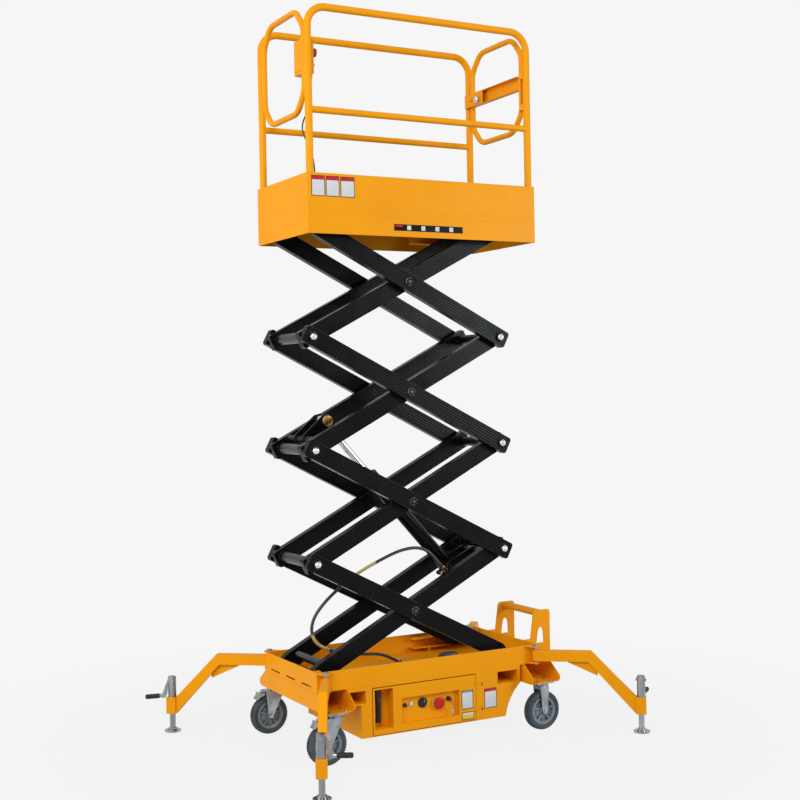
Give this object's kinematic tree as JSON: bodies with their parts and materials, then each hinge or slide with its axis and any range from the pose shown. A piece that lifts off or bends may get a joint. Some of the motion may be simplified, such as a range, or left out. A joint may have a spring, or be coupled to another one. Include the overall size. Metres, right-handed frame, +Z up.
{
  "type": "scissor lift",
  "caption": "Push-around scissor work platform, raised: folding arm stack, guard-railed deck, wheeled base and four outriggers with screw jacks.",
  "frame": {"origin": "on the floor under the centre of the base frame", "axes": "+X along the base towards the push handle, +Y to the back, +Z up"},
  "size_m": [2.2666, 1.7243, 3.6],
  "materials": {
    "orange_paint": "semi gloss",
    "black_paint": "satin",
    "bright_steel": "zinc plated",
    "zinc_steel": "zinc plated",
    "hard_chrome": "polished",
    "grey_rubber": "moulded",
    "grey_plastic": "matte",
    "black_rubber": "matte",
    "black_plastic": "matte",
    "deck_plate": "textured"
  },
  "bodies": {
    "base": {"base_frame": "orange_paint", "hinge_pins": "bright_steel", "swivel_channel": "orange_paint", "fixed_channel": "orange_paint", "push_handle": "orange_paint", "power_box": "orange_paint", "power_pack": "black_plastic", "hose_block": "bright_steel", "tray_hose": "black_rubber", "fork_fixed_front": "bright_steel", "fork_fixed_back": "bright_steel"},
    "door": {"control_door": "orange_paint", "ground_controls": "black_plastic", "charging_plug": "black_rubber"},
    "swivel_front": {"fork_swivel_front": "bright_steel"},
    "swivel_back": {"fork_swivel_back": "bright_steel"},
    "wheel_swivel_front": {"tyre_swivel_front": "grey_rubber", "hub_swivel_front": "grey_plastic"},
    "wheel_swivel_back": {"tyre_swivel_back": "grey_rubber", "hub_swivel_back": "grey_plastic"},
    "wheel_fixed_front": {"tyre_fixed_front": "grey_rubber", "hub_fixed_front": "grey_plastic"},
    "wheel_fixed_back": {"tyre_fixed_back": "grey_rubber", "hub_fixed_back": "grey_plastic"},
    "outrigger_front_right": {"outrigger_front_right": "orange_paint", "jack_front_right": "zinc_steel"},
    "leg_front_right": {"leg_front_right": "zinc_steel"},
    "outrigger_front_left": {"outrigger_front_left": "orange_paint", "jack_front_left": "zinc_steel"},
    "leg_front_left": {"leg_front_left": "zinc_steel"},
    "outrigger_back_left": {"outrigger_back_left": "orange_paint", "jack_back_left": "zinc_steel"},
    "leg_back_left": {"leg_back_left": "zinc_steel"},
    "outrigger_back_right": {"outrigger_back_right": "orange_paint", "jack_back_right": "zinc_steel"},
    "leg_back_right": {"leg_back_right": "zinc_steel"},
    "inner_1": {"inner_arms_1": "black_paint", "lift_hose": "black_rubber"},
    "outer_1": {"outer_arms_1": "black_paint", "base_rollers": "bright_steel"},
    "inner_2": {"inner_arms_2": "black_paint"},
    "outer_2": {"outer_arms_2": "black_paint"},
    "inner_3": {"inner_arms_3": "black_paint"},
    "outer_3": {"outer_arms_3": "black_paint"},
    "inner_4": {"inner_arms_4": "black_paint", "platform_rollers": "bright_steel"},
    "outer_4": {"outer_arms_4": "black_paint"},
    "barrel": {"cylinder_barrel": "black_paint"},
    "rod": {"cylinder_rod": "hard_chrome"},
    "platform": {"platform_skirt": "orange_paint", "platform_deck": "deck_plate", "platform_supports": "orange_paint", "rail_front": "orange_paint", "rail_back": "orange_paint", "end_hoop": "orange_paint", "control_box": "orange_paint", "control_cable": "black_rubber", "cable_gland": "black_rubber"},
    "gate": {"gate": "orange_paint"}
  },
  "joints": [
    {"name": "lift", "type": "hinge", "parent": "base", "child": "inner_1", "pos_m": [-0.583, 0, 0.387], "axis": [0, -1, 0], "range_deg": [-20.65, 17.75]},
    {"name": "centre_1", "type": "hinge", "parent": "inner_1", "child": "outer_1", "pos_m": [-0.05492, 0, 0.65898], "axis": [0, -1, 0], "range_deg": [-35.51, 41.31]},
    {"name": "right_1", "type": "hinge", "parent": "inner_1", "child": "outer_2", "pos_m": [0.47315, 0, 0.93095], "axis": [0, -1, 0], "range_deg": [-35.51, 41.31]},
    {"name": "centre_2", "type": "hinge", "parent": "outer_2", "child": "inner_2", "pos_m": [-0.05492, 0, 1.20293], "axis": [0, -1, 0], "range_deg": [-41.31, 35.51]},
    {"name": "left_2", "type": "hinge", "parent": "outer_2", "child": "inner_3", "pos_m": [-0.583, 0, 1.47491], "axis": [0, -1, 0], "range_deg": [-41.31, 35.51]},
    {"name": "centre_3", "type": "hinge", "parent": "inner_3", "child": "outer_3", "pos_m": [-0.05492, 0, 1.74689], "axis": [0, -1, 0], "range_deg": [-35.51, 41.31]},
    {"name": "right_3", "type": "hinge", "parent": "inner_3", "child": "outer_4", "pos_m": [0.47315, 0, 2.01886], "axis": [0, -1, 0], "range_deg": [-35.51, 41.31]},
    {"name": "centre_4", "type": "hinge", "parent": "outer_4", "child": "inner_4", "pos_m": [-0.05492, 0, 2.29084], "axis": [0, -1, 0], "range_deg": [-41.31, 35.51]},
    {"name": "platform_pivot", "type": "hinge", "parent": "outer_4", "child": "platform", "pos_m": [-0.583, 0, 2.56282], "axis": [0, -1, 0], "range_deg": [-20.66, 17.76]},
    {"name": "cylinder_foot", "type": "hinge", "parent": "inner_1", "child": "barrel", "pos_m": [0.27579, 0, 0.82931], "axis": [0, -1, 0], "range_deg": [-39.06, 45.44]},
    {"name": "cylinder_stroke", "type": "slide", "parent": "barrel", "child": "rod", "axis": [-0.6685, 0, 0.7437], "range_m": [-0.2731, 0.2348]},
    {"name": "swivel_front_turn", "type": "hinge", "parent": "base", "child": "swivel_front", "pos_m": [-0.556, -0.345, 0.235], "axis": [0, 0, 1], "continuous": true},
    {"name": "wheel_swivel_front_spin", "type": "hinge", "parent": "swivel_front", "child": "wheel_swivel_front", "pos_m": [-0.603, -0.345, 0.1], "axis": [0, 1, 0], "continuous": true},
    {"name": "swivel_back_turn", "type": "hinge", "parent": "base", "child": "swivel_back", "pos_m": [-0.556, 0.345, 0.235], "axis": [0, 0, 1], "continuous": true},
    {"name": "wheel_swivel_back_spin", "type": "hinge", "parent": "swivel_back", "child": "wheel_swivel_back", "pos_m": [-0.603, 0.345, 0.1], "axis": [0, 1, 0], "continuous": true},
    {"name": "wheel_fixed_front_spin", "type": "hinge", "parent": "base", "child": "wheel_fixed_front", "pos_m": [0.619, -0.345, 0.1], "axis": [0, 1, 0], "continuous": true},
    {"name": "wheel_fixed_back_spin", "type": "hinge", "parent": "base", "child": "wheel_fixed_back", "pos_m": [0.619, 0.345, 0.1], "axis": [0, 1, 0], "continuous": true},
    {"name": "front_right_swing", "type": "hinge", "parent": "base", "child": "outrigger_front_right", "pos_m": [0.597, -0.336, 0.381], "axis": [0, 0, 1], "range_deg": [-141.3, 0]},
    {"name": "front_right_jack", "type": "slide", "parent": "outrigger_front_right", "child": "leg_front_right", "axis": [0, 0, 1], "range_m": [-0.07, 0.07]},
    {"name": "front_left_swing", "type": "hinge", "parent": "base", "child": "outrigger_front_left", "pos_m": [-0.597, -0.336, 0.381], "axis": [0, 0, -1], "range_deg": [-104, 0]},
    {"name": "front_left_jack", "type": "slide", "parent": "outrigger_front_left", "child": "leg_front_left", "axis": [0, 0, 1], "range_m": [-0.07, 0.07]},
    {"name": "back_left_swing", "type": "hinge", "parent": "base", "child": "outrigger_back_left", "pos_m": [-0.597, 0.336, 0.381], "axis": [0, 0, 1], "range_deg": [-141.4, 0]},
    {"name": "back_left_jack", "type": "slide", "parent": "outrigger_back_left", "child": "leg_back_left", "axis": [0, 0, 1], "range_m": [-0.07, 0.07]},
    {"name": "back_right_swing", "type": "hinge", "parent": "base", "child": "outrigger_back_right", "pos_m": [0.597, 0.336, 0.381], "axis": [0, 0, -1], "range_deg": [-115, 0]},
    {"name": "back_right_jack", "type": "slide", "parent": "outrigger_back_right", "child": "leg_back_right", "axis": [0, 0, 1], "range_m": [-0.07, 0.07]},
    {"name": "door_swing", "type": "hinge", "parent": "base", "child": "door", "pos_m": [0.246, -0.3065, 0.205], "axis": [0, 0, 1], "range_deg": [0, 100]},
    {"name": "gate_swing", "type": "hinge", "parent": "platform", "child": "gate", "pos_m": [0.6165, -0.256, 3.265], "axis": [0, 0, 1], "range_deg": [0, 90]}
  ],
  "couplings": [
    {"joint": "centre_1", "follows": "lift", "ratio": -2},
    {"joint": "right_1", "follows": "lift", "ratio": -2},
    {"joint": "centre_2", "follows": "lift", "ratio": 2},
    {"joint": "left_2", "follows": "lift", "ratio": 2},
    {"joint": "centre_3", "follows": "lift", "ratio": -2},
    {"joint": "right_3", "follows": "lift", "ratio": -2},
    {"joint": "centre_4", "follows": "lift", "ratio": 2},
    {"joint": "platform_pivot", "follows": "lift", "ratio": 1},
    {"joint": "cylinder_foot", "follows": "lift", "ratio": -2.2},
    {"joint": "cylinder_stroke", "follows": "lift", "m_per_rad": 0.7563}
  ]
}
